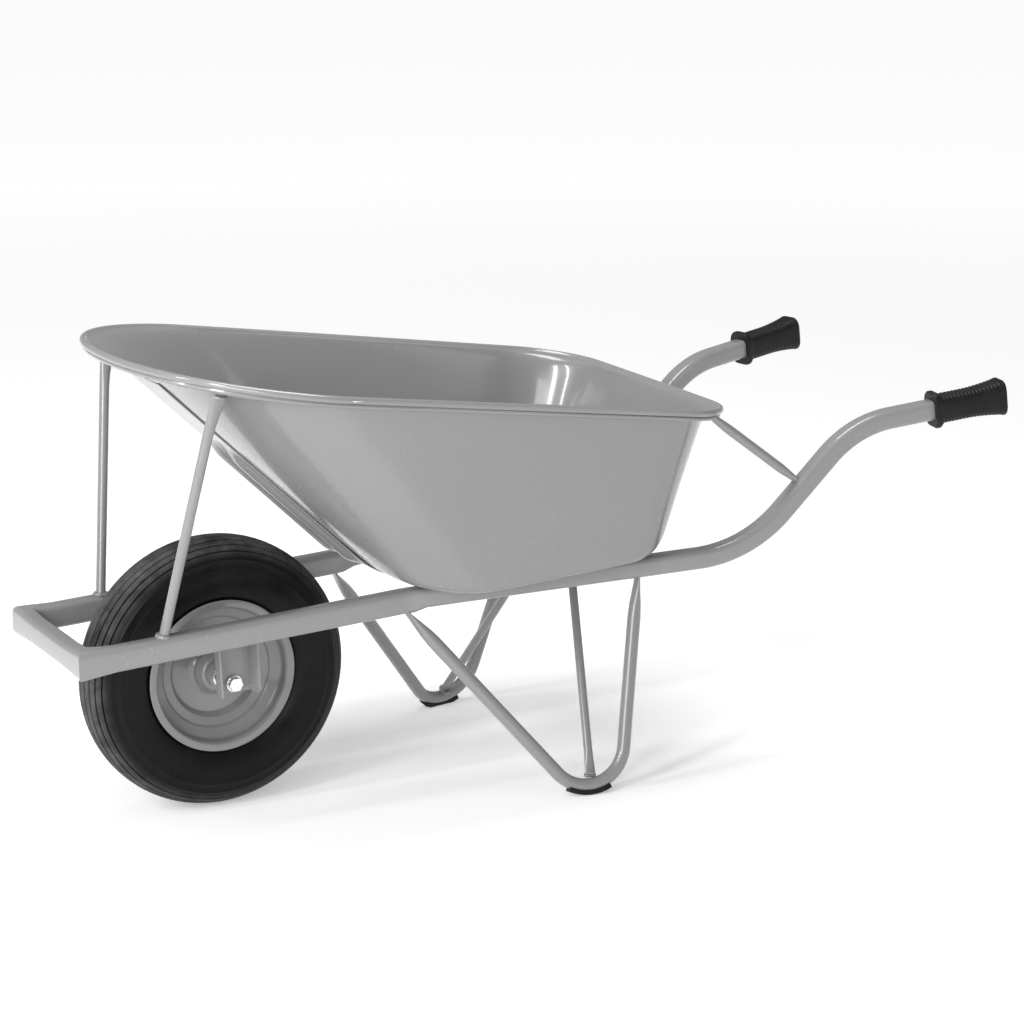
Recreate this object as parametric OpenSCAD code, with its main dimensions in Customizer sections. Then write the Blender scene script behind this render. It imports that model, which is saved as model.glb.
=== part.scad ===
// A builder's wheelbarrow: a pressed steel tray welded on a bent tube frame, with two V legs and
// one pneumatic wheel that turns on ball bearings round a through bolt.
// Millimetres, +Z up. The wheel is at the -X end and the handles at the +X end. Left (-Y) and
// right (+Y) are those of the person who pushes it. The model stands on Z = 0 and the origin is
// under the middle of its length and width.

/* [Wheel] */
// Outside diameter of the inflated tyre
tyre_d = 400; // [340:5:480]
// Width of the inflated tyre
tyre_w = 100; // [84:1:120]
// Thickness of the tyre's wall
tyre_wall = 7; // [5:0.5:9]
// Number of grooves round the tread
tread_grooves = 6; // [2:1:8]
// Diameter of the rim where the tyre's beads sit
rim_seat_d = 203; // [180:1:230]
// Height of the rim's lips above its bead seats
rim_lip = 12; // [8:0.5:14]
// Width of the rim over its lips
rim_w = 83; // [70:1:84]
// Thickness of the rim's sheet steel
rim_sheet = 2; // [1.5:0.1:2.5]
// Depth of the rim's well below its bead seats
rim_well = 17; // [12:1:20]

/* [Hub and axle] */
// Outside diameter of the hub tube
hub_d = 40; // [38:1:46]
// Length of the hub tube
hub_len = 80; // [66:1:90]
// Outside diameter of each ball bearing
bearing_d = 32; // [28:1:35]
// Width of each ball bearing
bearing_w = 10; // [8:0.5:12]
// Number of balls in each bearing
ball_count = 7; // [5:1:8]
// Gap round each ball in its races
bearing_play = 0.05; // [0.02:0.01:0.1]
// Diameter of the axle bolt
axle_d = 12; // [10:0.5:14]
// Gap round the bolt in the parts that it passes through
axle_gap = 0.1; // [0.05:0.05:0.3]
// Size across the flats of the bolt's head and nut
axle_hex = 19; // [17:1:22]
// Distance from the hub's end to the bracket
spacer_len = 37; // [20:1:45]
// Outside diameter of the spacers
spacer_d = 18; // [16:0.5:20]

/* [Frame tube] */
// Width of the tube in its front stretch
rail_w = 28; // [24:1:36]
// Height of the tube in its front stretch
rail_h = 35; // [28:1:42]
// Width and height of the tube from the bend to the grips
handle_size = 30; // [26:1:36]
// Radius of the tube's corners
tube_corner = 8; // [5:0.5:10]
// Thickness of the tube's wall
tube_wall = 2; // [1.5:0.1:3]
// Distance between the centre lines of the two rails
rail_spacing = 243; // [220:1:280]
// Upward pitch of the rails towards the handles
frame_pitch = 2.7; // [0:0.1:5]
// Height of the rails' centre lines above the axle
axle_drop = 86; // [70:1:110]
// Gap between the tyre and the front crosspiece
front_gap = 20; // [10:1:60]
// Distance behind the axle of the bend where the rails spread
splay_at = 254; // [220:1:300]
// Angle by which each rail spreads
splay = 10; // [6:0.5:12]
// Length of the straight stretch under and behind the tray
rail_run = 450; // [420:5:520]
// Angle of the slope up to the handles, from the rails
rise = 44.4; // [30:0.2:50]
// Radius of the bend up
low_bend_r = 195; // [120:5:240]
// Length of the slope between the two bends
slope_len = 108; // [80:1:160]
// Radius of the bend back to level
high_bend_r = 164; // [100:2:200]
// Angle by which the handles stay raised, from the rails
handle_pitch = 4; // [0:0.2:10]
// Length of each handle behind its last bend
handle_len = 183; // [160:1:240]

/* [Grips] */
// Length of each rubber grip
grip_len = 118; // [110:1:150]
// Thickness of the grip's rubber over the tube
grip_wall = 5; // [3:0.5:8]
// Height of the collars at both ends of the grip above the tube
grip_collar = 12.5; // [8:0.5:16]
// Thickness of the grip's closed end
grip_end = 6; // [4:0.5:10]

/* [Tray] */
// Length of the tray over the middle of its rim
tray_len = 896; // [800:5:1000]
// Width of the tray over the middle of its rim, behind the round nose
tray_w = 586; // [540:2:660]
// Width of the tray over the middle of its rim, ahead of the rear corners
tray_w_rear = 540; // [500:2:640]
// How far the rim's nose reaches ahead of the axle
nose_ahead = 154; // [100:2:190]
// Height of the rim's nose above the axle
nose_rise = 481; // [430:2:540]
// Height of the rim's rear edge above the axle
rear_rise = 348; // [300:2:400]
// Length of the rim's round nose
nose_round = 249; // [200:2:290]
// Radius of the rim's rear corners
rear_corner = 105; // [60:1:130]
// Distance from the axle to the floor's front edge
floor_at = 250; // [230:1:300]
// Length of the floor
floor_len = 407; // [360:1:430]
// Width of the floor
floor_w = 434; // [400:2:450]
// Radius of the floor's front corners
floor_corner = 95; // [80:1:110]
// Radius of the floor's rear corners
floor_rear_corner = 73; // [50:1:90]
// Rounding between the floor and the front wall
front_round = 55; // [30:1:60]
// Rounding between the floor and the side walls
side_round = 11; // [8:1:30]
// Rounding between the floor and the rear wall
rear_round = 38; // [25:1:45]
// Thickness of the tray's sheet
tray_sheet = 1.5; // [1:0.1:2.5]
// Radius of the rolled rim
bead_r = 5.8; // [5:0.1:8]
// Diameter of the wire inside the rolled rim
wire_d = 7; // [4:0.5:7]

/* [Nose reinforcement] */
// Width of the plate under the nose
plate_w = 120; // [90:2:140]
// Thickness of that plate
plate_t = 2.5; // [1.5:0.5:4]
// Radius of the two stiffening ribs pressed in the plate
rib_r = 10; // [6:0.5:12]
// Diameter of the bar under the rim's nose
nose_bar_d = 10; // [8:0.5:12]

/* [Stays and legs] */
// Diameter of the four stays that hold the tray
stay_d = 14.5; // [12:0.5:18]
// Distance ahead of the axle where the front stays stand on the rails
front_stay_at = 117; // [90:1:150]
// Distance up the slope of the handles where the rear stays end
rear_stay_at = 49; // [30:1:80]
// Diameter of the leg tube
leg_d = 20; // [18:0.5:26]
// Radius of the bend at each foot
foot_bend_r = 60; // [40:1:70]
// Distance behind the axle of the feet
foot_at = 493; // [460:1:540]
// Distance between the middles of the two feet
foot_spacing = 482; // [440:1:540]
// Distance behind the axle where the legs' front arms meet the rails
leg_front_at = 258; // [240:1:280]
// Distance behind the spreading bend where the legs' rear arms meet the rails
leg_rear_at = 352; // [320:1:380]
// Diameter of the brace from each foot to the cross bar
brace_d = 13; // [10:0.5:16]
// Thickness of the wear shoe under each foot
shoe_t = 4; // [3:0.5:8]
// Width of the two cross bars under the tray
cross_bar_w = 40; // [30:1:50]
// Thickness of the cross bars
cross_bar_t = 5; // [4:0.5:8]
// Distance between the braces' upper ends
brace_spacing = 68; // [50:1:120]

/* [Brackets] */
// Width of each axle bracket
bracket_w = 52; // [40:1:64]
// Thickness of the brackets' plate
bracket_t = 3; // [2:0.5:5]
// Depth of the brackets' plate below the axle
bracket_foot = 14; // [12:1:24]
// Angle by which the brackets' flanges spread
flange_angle = 9; // [0:1:12]

/* [Hidden] */
$fn = 48;

// Colours
paint = "#a9abaa";
rubber = "#1c1c1d";
cap_black = "#26262a";
zinc = "#c9cccf";
bearing_steel = "#b8bcc0";
eps = 0.01;
big = 2000;

// Rigid placements are 4 x 4 matrices, chained along the tube like the stretches themselves.
function move(v) = [[1, 0, 0, v.x], [0, 1, 0, v.y], [0, 0, 1, v.z], [0, 0, 0, 1]];
function axes(x, y, z, o) = [
    [x.x, y.x, z.x, o.x], [x.y, y.y, z.y, o.y], [x.z, y.z, z.z, o.z], [0, 0, 0, 1]];
function turn_z(a) = axes([cos(a), sin(a), 0], [-sin(a), cos(a), 0], [0, 0, 1], [0, 0, 0]);
function pitch_up(a) = axes([cos(a), 0, sin(a)], [0, 1, 0], [-sin(a), 0, cos(a)], [0, 0, 0]);
function point(m, p = [0, 0, 0]) = let (q = m * [p.x, p.y, p.z, 1]) [q.x, q.y, q.z];
function unit(v) = v / norm(v);
function blend(a, b, t) = a + (b - a) * t;
function arc_rise(r, a) = r * (1 - cos(a));

// The frame: its rails lie in a plane that is pitched up from the axle.
axle_z = tyre_d / 2;
rail_half = rail_spacing / 2;
front_reach = tyre_d / 2 + front_gap + rail_w;
splay_bend_r = 120;
section_change = 24;
// Stretches that meet differ by this in width and lap by this, so that they join in one solid.
lap = 0.1;
frame_m = move([0, 0, axle_z]) * pitch_up(frame_pitch) * move([0, 0, axle_drop]);
splay_lead = splay_bend_r * tan(splay / 2);
splay_m = frame_m * move([splay_at - splay_lead, rail_half, 0]);
change_m = splay_m * move([splay_bend_r * sin(splay), arc_rise(splay_bend_r, splay), 0])
    * turn_z(splay);
handle_lift = (rail_h - handle_size) / 2;
run_m = change_m * move([section_change, 0, handle_lift]);
low_bend_m = run_m * move([rail_run - section_change, 0, 0]);
slope_m = low_bend_m * move([low_bend_r * sin(rise), 0, arc_rise(low_bend_r, rise)])
    * pitch_up(rise);
high_bend_m = slope_m * move([slope_len, 0, 0]);
fall = rise - handle_pitch;
hold_m = high_bend_m * move([high_bend_r * sin(fall), 0, -arc_rise(high_bend_r, fall)])
    * pitch_up(-fall);
grip_m = hold_m * move([handle_len - grip_len + grip_end, 0, 0]);
handle_end = point(grip_m, [grip_len, 0, -handle_size / 2 - grip_collar]);
frame_front = point(frame_m, [-front_reach, 0, rail_h / 2 - tube_corner]);
mid_x = (handle_end.x + frame_front.x) / 2;

// The wheel: sizes across it count from the middle plane of the tyre.
rim_half = rim_w / 2;
seat_r = rim_seat_d / 2;
well_r = seat_r - rim_well;
hub_half = hub_len / 2;
bore_r = axle_d / 2 + axle_gap;
web_in = hub_half + spacer_len;
web_out = web_in + bracket_t;
washer_t = 2.5;
washer_d = 2 * axle_d;
head_t = 0.62 * axle_d;
nut_t = axle_d;
thread_end = 3;
ball_r = (bearing_d - axle_d) * 0.149;
race_r = (bearing_d + axle_d) / 4;
shoulder = 0.62 * ball_r;

// The tray: rings of points run round it, from the nose over the right side to the rear.
steps = [3, 11, 6, 7, 3];
half_steps = steps[0] + steps[1] + steps[2] + steps[3] + steps[4];
ring_steps = 2 * half_steps;
nose_flat = 15;
rim_plan = [-nose_ahead, tray_len - nose_ahead, tray_w / 2, nose_round, tray_w / 2 - nose_flat,
    rear_corner, tray_w_rear / 2];
corner_ledge = 35;
wall_corner = rear_corner + corner_ledge;
floor_plan = [floor_at, floor_at + floor_len, floor_w / 2, floor_corner, floor_corner + 10,
    floor_rear_corner, floor_w / 2];
rim_fall = (nose_rise - rear_rise) / tray_len;
lip = [36, 2, 3];
lip_drop = 0.3;
flare_rear = 0.15;
fillet_rows = 4;
wall_rows = 5;
bead_rows = 7;
bead_from = 180;
bead_to = -130;

// A plan is [front, rear, half width, nose length, nose half width, rear corner, rear half width].
function inset(g, d) = [g[0] + d, g[1] - d, g[2] - d, g[3] - d, g[4] - d, g[5] - d, g[6] - d];
// Point k of half_steps on the right half of a plan: front, front corner, side, rear corner, rear.
function half_plan(k, g) =
    let (a = k - steps[0], b = a - steps[1], c = b - steps[2], d = c - steps[3])
    a < 0 ? [g[0], (g[2] - g[4]) * k / steps[0]]
    : b < 0 ? let (q = 90 * a / steps[1])
        [g[0] + g[3] * (1 - cos(q)), g[2] - g[4] * (1 - sin(q))]
    : c < 0 ? [blend(g[0] + g[3], g[1] - g[5], b / steps[2]), blend(g[2], g[6], b / steps[2])]
    : d < 0 ? let (q = 90 * c / steps[3])
        [g[1] - g[5] * (1 - sin(q)), g[6] - g[5] * (1 - cos(q))]
    : [g[1], (g[6] - g[5]) * (1 - d / steps[4])];
function half_index(i) = i <= half_steps ? i : ring_steps - i;
function plan_point(i, g) =
    let (p = half_plan(half_index(i), g)) i <= half_steps ? p : [p.x, -p.y];
function rim_z(x) = axle_z + nose_rise - (x + nose_ahead) * rim_fall;
// Height of the rails' top plane above the ground, at a distance behind the axle.
function rail_top(x) = let (p = point(frame_m, [0, 0, rail_h / 2]))
    p.z + (x - p.x) * tan(frame_pitch);
// A size that changes round the tray from v[0] at the nose to v[1] at the sides and v[2] behind.
function around(i, v) =
    let (k = half_index(i), front = steps[0] + steps[1], back = front + steps[2])
    k < front ? blend(v[1], v[0], cos(90 * k / front))
    : k < back ? v[1]
    : blend(v[1], v[2], sin(90 * min(1, (k - back) / steps[3])));
function foot_of_wall(i, skin) =
    let (p = plan_point(i, inset(floor_plan, 1.3 * skin))) [p.x, p.y, rail_top(p.x) + skin];
function top_of_wall(i, skin) =
    let (l = around(i, lip), d = bead_r - tray_sheet + l + skin, g = inset(rim_plan, d),
         p = plan_point(i, [g[0], g[1], g[2], g[3], g[4], wall_corner - d, g[6]]))
    [p.x, p.y, rim_z(p.x) - l * lip_drop];
function flare(i) = flare_rear * pow(half_index(i) / half_steps, 2);
function on_wall(i, t, skin) =
    let (a = foot_of_wall(i, skin), b = top_of_wall(i, skin), f = flare(i),
         h = blend(a, b, t * (1 - f + f * t)))
    [h.x, h.y, blend(a.z, b.z, t)];
// Size of the rounding at the wall's foot, and where it ends as a share of the wall's height.
function rounding(i) = around(i, [front_round, side_round, rear_round]);
function round_end(i) = rounding(i) / norm(top_of_wall(i, 0) - foot_of_wall(i, 0));
function on_round(i, u, skin) =
    let (p = plan_point(i, inset(floor_plan, rounding(i) + 1.3 * skin)),
         a = [p.x, p.y, rail_top(p.x) + skin], b = foot_of_wall(i, skin),
         c = on_wall(i, round_end(i), skin))
    blend(blend(a, b, u), blend(b, c, u), u);
// A point round the rolled rim, at angle q and radius r about its middle line or a line inside it.
function on_bead(i, q, r, tuck = 0, drop = 0) =
    let (c = plan_point(i, rim_plan), p = plan_point(i, inset(rim_plan, tuck - r * cos(q))))
    [p.x, p.y, rim_z(c.x) + r * sin(q) - drop];
function wall_step(i, j) = blend(round_end(i), 1, j / wall_rows);
function bead_angle(j) = blend(bead_from, bead_to, j / bead_rows);
function ring(f) = [for (i = [0 : ring_steps - 1]) f(i)];
tray_rings = concat(
    [for (j = [0 : fillet_rows]) ring(function (i) on_round(i, j / fillet_rows, tray_sheet))],
    [for (j = [1 : wall_rows]) ring(function (i) on_wall(i, wall_step(i, j), tray_sheet))],
    [for (j = [0 : bead_rows]) ring(function (i) on_bead(i, bead_angle(j), bead_r))],
    [for (j = [bead_rows : -1 : 0])
        ring(function (i) on_bead(i, bead_angle(j), bead_r - tray_sheet))],
    [for (j = [wall_rows : -1 : 1]) ring(function (i) on_wall(i, wall_step(i, j), 0))],
    [for (j = [fillet_rows : -1 : 0]) ring(function (i) on_round(i, j / fillet_rows, 0))]);

// A section of eight points in the upright plane across the rim.
wire_sides = 8;
function rod_section(i, r, tuck = 0, drop = 0) =
    [for (k = [0 : wire_sides - 1]) on_bead(i, 360 * k / wire_sides, r, tuck, drop)];
nose_bar_steps = 12;
nose_bar_tuck = nose_bar_d / 2;
nose_bar_drop = bead_r + nose_bar_d / 4;

// The nose reinforcement lies on a plane along the nose's slope, its Z pointing away from it.
nose_foot = foot_of_wall(0, 0);
nose_top = top_of_wall(0, 0);
nose_up = unit(nose_top - nose_foot);
nose_m = axes(nose_up, [0, 1, 0], cross(nose_up, [0, 1, 0]), nose_foot);
nose_len = norm(nose_top - nose_foot);
plate_from = 22;
plate_to = nose_len - 30;
rib_from = 8;
rib_to = 0.66 * nose_len;
rib_spacing = 0.5 * plate_w;
plate_lift = 0.2;

// The legs: a tube bent in the plane of three points, its arms tangent to the bend at the foot.
// The lowest point of the bend's middle line is the foot's.
leg_front_p = point(frame_m, [leg_front_at, rail_half + 3, -rail_h / 2]);
leg_rear_p = point(run_m, [leg_rear_at - section_change, 0, -handle_size / 2]);
shoe_bite = 1.5;
foot_p = [foot_at, foot_spacing / 2, leg_d / 2 + shoe_t - shoe_bite];
leg_n = unit(cross(leg_rear_p - foot_p, leg_front_p - foot_p));
leg_up = unit([0, 0, 1] - leg_n.z * leg_n);
leg_x = cross(leg_up, leg_n);
foot_c = foot_p + foot_bend_r * leg_up;
leg_m = axes(leg_x, leg_up, leg_n, foot_c);
function in_leg(p) = [(p - foot_c) * leg_x, (p - foot_c) * leg_up];
function polar(p) = atan2(p.y, p.x);
front_arm = in_leg(leg_front_p);
rear_arm = in_leg(leg_rear_p);
front_tangent = polar(front_arm) + acos(foot_bend_r / norm(front_arm));
rear_tangent = polar(rear_arm) - acos(foot_bend_r / norm(rear_arm)) + 360;
arm_spare = 20;
shoe_half_angle = 27;
shoe_w = 0.9 * leg_d;
cross_bar_front_at = 310;
cross_bar_rear_at = 580;
brace_lead = 14;
brace_foot = foot_p + [6, 1 - brace_d / 2, brace_lead];
brace_top = point(frame_m, [cross_bar_rear_at, brace_spacing / 2, rail_h / 2 - cross_bar_t]);

// The stays stand on the rails and end against the rim.
front_stay_foot = point(frame_m, [-front_stay_at, rail_half - 1, rail_h / 2]);
front_stay_rim = 8.7;
front_stay_top = on_bead(front_stay_rim, 0, 0, 12, 13);
rear_stay_rim = steps[0] + steps[1] + steps[2] + 2.8;
rear_stay_foot = point(slope_m, [rear_stay_at, 0, handle_size / 2]);
// The rear stay's end bites into the rolled rim's sheet and stops short of its wire.
rear_stay_way = unit(on_bead(rear_stay_rim, 0, 0, 8, bead_r) - rear_stay_foot);
rear_stay_bite = 3.7;
rear_stay_top = on_bead(rear_stay_rim, 0, 0, 8,
    bead_r + stay_d / 2 * sqrt(1 - rear_stay_way.z * rear_stay_way.z) - rear_stay_bite);

// ---------- shared shapes ----------
module placed() {
    translate([-mid_x, 0, 0]) children();
}

module on_side(side) {
    if (side > 0) placed() children();
    else mirror([0, 1, 0]) placed() children();
}

module on_wheel() {
    placed() translate([0, 0, axle_z]) rotate([-90, 0, 0]) children();
}

module rounded_rect(w, h, r) {
    square([w - 2 * r, h], center = true);
    square([w, h - 2 * r], center = true);
    for (x = [-1, 1], y = [-1, 1]) translate([x * (w / 2 - r), y * (h / 2 - r)]) circle(r);
}

// The tube's outline, or a line that lies inside it by the wall's thickness.
module tube_outline(w, h, wall = 0) {
    rounded_rect(w - 2 * wall, h - 2 * wall, tube_corner - wall);
}

module along_x(len) {
    rotate([90, 0, 90]) linear_extrude(len) children();
}

module bend(r, a) {
    translate([0, r, 0]) rotate(-90) rotate_extrude(angle = a) translate([r, 0]) children();
}

// A round rod from a to b that starts before a by the spare length.
module rod(a, b, d, spare = 0) {
    v = b - a;
    translate(a) rotate([0, acos(v.z / norm(v)), atan2(v.y, v.x)]) translate([0, 0, -spare])
        cylinder(h = norm(v) + spare, d = d);
}

module ring_of(r_in, r_out, from, to) {
    translate([0, 0, from]) difference() {
        cylinder(h = to - from, r = r_out);
        translate([0, 0, -1]) cylinder(h = to - from + 2, r = r_in);
    }
}

module hex(across, h) {
    cylinder(h = h, r = across / sqrt(3), $fn = 6);
}

// A closed skin over rings of points. The rings either join end to end or are capped.
module skin(rings, closed = false) {
    n = len(rings[0]);
    m = len(rings);
    last = closed ? m - 1 : m - 2;
    points = [for (r = rings) for (p = r) p];
    sides = [for (j = [0 : last]) for (i = [0 : n - 1])
        let (k = (i + 1) % n, t = (j + 1) % m) each [
            [j * n + i, j * n + k, t * n + k],
            [j * n + i, t * n + k, t * n + i]]];
    caps = closed ? [] : [
        [for (i = [n - 1 : -1 : 0]) i],
        [for (i = [0 : n - 1]) (m - 1) * n + i]];
    polyhedron(points, concat(sides, caps), convexity = 6);
}

// ---------- wheel ----------
tyre_r = tyre_d / 2;
tyre_mid = (tyre_r + seat_r) / 2;
tyre_up = tyre_r - tyre_mid;
square_shape = 0.85;
tyre_from = -52;
function swell(v) = sign(v) * pow(abs(v), square_shape);
function tyre_curve(q, t) =
    [tyre_mid + (tyre_up - t) * swell(sin(q)), (tyre_w / 2 - t) * swell(cos(q))];
tyre_steps = 28;
function tyre_angle(k) = blend(tyre_from, 180 - tyre_from, k / tyre_steps);
bead_in = rim_half - rim_sheet - 15;
bead_out = rim_half - rim_sheet - 1.5;

module tyre() color(rubber) on_wheel() {
    difference() {
        union() {
            rotate_extrude() polygon(concat(
                [for (k = [0 : tyre_steps]) tyre_curve(tyre_angle(k), 0)],
                [for (k = [tyre_steps : -1 : 0]) tyre_curve(tyre_angle(k), tyre_wall)]));
            for (s = [0, 1]) mirror([0, 0, s])
                ring_of(seat_r, tyre_curve(tyre_from, tyre_wall / 2).x + 4, bead_in, bead_out);
        }
        for (k = [0 : tread_grooves - 1]) tread_groove(k);
    }
}

groove_w = 2;
groove_d = 2.5;
groove_span = 76;

module tread_groove(k) {
    q = 90 + groove_span * (k / (tread_grooves - 1) - 0.5);
    p = tyre_curve(q, 0);
    rotate_extrude() translate([p.x, p.y]) rotate(q - 90)
        translate([-groove_d, -groove_w / 2]) square([2 * groove_d, groove_w]);
}

tube_gap = 1.5;
tube_r = min(tyre_up, tyre_w / 2) - tyre_wall - tube_gap;
tube_rubber = 2;

module inner_tube() color(rubber) on_wheel() {
    rotate_extrude() translate([tyre_mid, 0]) difference() {
        circle(tube_r);
        circle(tube_r - tube_rubber);
    }
}

disc_y = rim_sheet;
cup_r = hub_d / 2 + 6;
cup_y = hub_half - 13;
step_r = well_r - 14;
step_y = 13;
well_y = 17;
seat_y = 24;

// Outline of one half of the rim, from the hub out to the lip, as [radius, distance].
rim_face = [
    [hub_d / 2, cup_y + 1], [cup_r, cup_y - 1], [cup_r + 5, disc_y + 3], [cup_r + 12, disc_y],
    [step_r - 6, disc_y], [step_r, step_y], [well_r - 3, step_y + 1.5], [well_r - rim_sheet, well_y],
    [seat_r - 3 - rim_sheet, seat_y], [seat_r - rim_sheet, seat_y + 3],
    [seat_r - rim_sheet, rim_half - 5], [seat_r + 1, rim_half - 0.8], [seat_r + rim_lip - 2, rim_half]
];
rim_back = [
    [seat_r + rim_lip, rim_half - 1.2], [seat_r + rim_lip - 1, rim_half - rim_sheet],
    [seat_r + 1.5, rim_half - rim_sheet - 0.8], [seat_r, rim_half - 6.5], [seat_r, seat_y + 2],
    [seat_r - 2, seat_y - 1], [well_r, well_y - 1.5], [well_r - 2, step_y - 1],
    [step_r + 1.2, step_y - rim_sheet], [step_r - 4.2, 0], [cup_r + 10, 0],
    [cup_r + 3, disc_y + 0.5], [cup_r - rim_sheet, cup_y - rim_sheet - 1],
    [hub_d / 2, cup_y + 1 - rim_sheet]
];
valve_d = 11;
valve_x = -(step_r + well_r) / 2;

module rim_half_dish() {
    rotate_extrude() polygon(concat(rim_face, rim_back));
}

module rim_left() color(paint) on_wheel() mirror([0, 0, 1]) rim_half_dish();

module rim_right() color(paint) on_wheel() difference() {
    rim_half_dish();
    translate([valve_x, 0, 0]) cylinder(h = 2 * rim_half, d = valve_d, center = true);
}

valve_stem_d = 8;
valve_from = step_y - 5;
valve_foot = 4;
valve_neck = 10;
valve_len = 31;

module valve_stem() color(rubber) on_wheel() translate([valve_x, 0, valve_from]) {
    cylinder(h = valve_foot, d = valve_d + 4);
    cylinder(h = valve_neck, d = valve_d);
    cylinder(h = valve_len, d = valve_stem_d);
}

module valve_cap() color(cap_black) on_wheel() translate([valve_x, 0, valve_from + valve_len - 6])
    difference() {
        cylinder(h = 9, d = valve_stem_d + 2.4);
        translate([0, 0, -1]) cylinder(h = 7, d = valve_stem_d);
    }

hub_shoulder = 3;

module hub_tube() color(paint) on_wheel() {
    ring_of(bearing_d / 2 - hub_shoulder, hub_d / 2, -hub_half + bearing_w, hub_half - bearing_w);
    for (s = [0, 1]) mirror([0, 0, s])
        ring_of(bearing_d / 2, hub_d / 2, hub_half - bearing_w - eps, hub_half);
}

module at_bearings() {
    for (s = [-1, 1]) translate([0, 0, s * (hub_half - bearing_w / 2)]) children();
}

module race() {
    rotate_extrude() translate([race_r, 0]) circle(ball_r + bearing_play);
}

module bearing_outer_rings() color(bearing_steel) on_wheel() at_bearings() difference() {
    ring_of(race_r + shoulder, bearing_d / 2, -bearing_w / 2, bearing_w / 2);
    race();
}

module bearing_balls() color(bearing_steel) on_wheel() at_bearings()
    for (k = [0 : ball_count - 1]) rotate(360 * k / ball_count)
        translate([race_r, 0, 0]) sphere(ball_r);

module bearing_inner_rings() color(bearing_steel) on_wheel() at_bearings() difference() {
    ring_of(bore_r, race_r - shoulder, -bearing_w / 2, bearing_w / 2);
    race();
}

module bearing_spacer() color(zinc) on_wheel()
    ring_of(bore_r, race_r - shoulder, -hub_half + bearing_w, hub_half - bearing_w);

module axle_spacers() color(zinc) on_wheel()
    for (s = [0, 1]) mirror([0, 0, s]) ring_of(bore_r, spacer_d / 2, hub_half, web_in);

bolt_from = -web_out - washer_t;
bolt_to = web_out + washer_t + nut_t + thread_end;

module axle_bolt() color(zinc) on_wheel() {
    translate([0, 0, bolt_from - head_t]) hex(axle_hex, head_t);
    translate([0, 0, bolt_from - eps]) cylinder(h = bolt_to - bolt_from, d = axle_d);
}

module axle_washers() color(zinc) on_wheel()
    for (s = [0, 1]) mirror([0, 0, s]) ring_of(bore_r, washer_d / 2, web_out, web_out + washer_t);

module axle_nut() color(zinc) on_wheel() translate([0, 0, web_out + washer_t]) difference() {
    hex(axle_hex, nut_t);
    translate([0, 0, -1]) cylinder(h = nut_t + 2, d = axle_d);
}

// ---------- brackets ----------
bracket_top = rail_h / 2 - 4;
flange_len = rail_half - rail_w / 2 - web_in;
flange_foot = 8;

module flange() {
    reach = flange_len / cos(flange_angle);
    translate([bracket_w / 2 - bracket_t, web_in, -axle_drop - bracket_foot]) rotate(-flange_angle)
        difference() {
            cube([bracket_t, reach, bracket_top + axle_drop + bracket_foot]);
            translate([0, reach, 0]) rotate([45, 0, 0])
                cube([3 * bracket_t, flange_foot, flange_foot], center = true);
        }
}

module axle_bracket(side) color(paint) on_side(side) multmatrix(frame_m) difference() {
    union() {
        translate([-bracket_w / 2, web_in, -axle_drop - bracket_foot])
            cube([bracket_w, bracket_t, bracket_top + axle_drop + bracket_foot]);
        for (s = [0, 1]) mirror([s, 0, 0]) flange();
    }
    translate([0, web_in - 1, -axle_drop]) rotate([-90, 0, 0])
        cylinder(h = bracket_t + 2, r = bore_r);
    translate([-bracket_w, rail_half - rail_w / 2, -big / 2]) cube([2 * bracket_w, big, big]);
}

module axle_bracket_left() axle_bracket(-1);

module axle_bracket_right() axle_bracket(1);

// ---------- frame ----------
module mitre() {
    reach = rail_half + rail_w / 2;
    translate([-front_reach, 0, -rail_h]) linear_extrude(2 * rail_h)
        polygon([[-1, reach + 1], [reach, 0], [-1, -reach - 1]]);
}

// The stretches of one side of the frame, as solids that lie the wall's thickness inside the tube.
module stretches(wall) {
    multmatrix(frame_m) translate([-front_reach, rail_half, 0])
        along_x(front_reach + splay_at - splay_lead + lap) tube_outline(rail_w, rail_h, wall);
    multmatrix(splay_m) bend(splay_bend_r, splay) tube_outline(rail_w - lap, rail_h - lap, wall);
    multmatrix(change_m) hull() {
        translate([-lap, 0, 0]) along_x(2 * lap)
            tube_outline(rail_w - 2 * lap, rail_h - 2 * lap, wall);
        translate([section_change - 2 * lap, 0, handle_lift]) along_x(2 * lap)
            tube_outline(handle_size - lap, handle_size - lap, wall);
    }
    multmatrix(run_m) handle_stretch(rail_run - section_change + lap, wall);
    multmatrix(low_bend_m) rotate([90, 0, 0]) handle_bend(low_bend_r, rise, wall);
    multmatrix(slope_m) handle_stretch(slope_len + lap, wall);
    multmatrix(high_bend_m) mirror([0, 0, 1]) rotate([90, 0, 0])
        handle_bend(high_bend_r, fall, wall);
    multmatrix(hold_m) handle_stretch(handle_len + wall, wall);
}

module handle_stretch(to, wall) {
    translate([-lap, 0, 0]) along_x(lap + to) tube_outline(handle_size, handle_size, wall);
}

module handle_bend(r, a, wall) {
    bend(r, a) tube_outline(handle_size - lap, handle_size - lap, wall);
}

module side_tube(side) color(paint) on_side(side) difference() {
    stretches(0);
    stretches(tube_wall);
    multmatrix(frame_m) mitre();
}

module side_tube_left() side_tube(-1);

module side_tube_right() side_tube(1);

module front_crosspiece() color(paint) placed() multmatrix(frame_m) intersection() {
    translate([-front_reach + rail_w / 2, rail_half + rail_w / 2, 0]) rotate([0, 0, -90])
        along_x(rail_spacing + rail_w) difference() {
            tube_outline(rail_w, rail_h);
            tube_outline(rail_w, rail_h, tube_wall);
        }
    mitre();
}

// ---------- grips ----------
collar_t = 9;
grip_size = handle_size + 2 * grip_wall;

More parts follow.
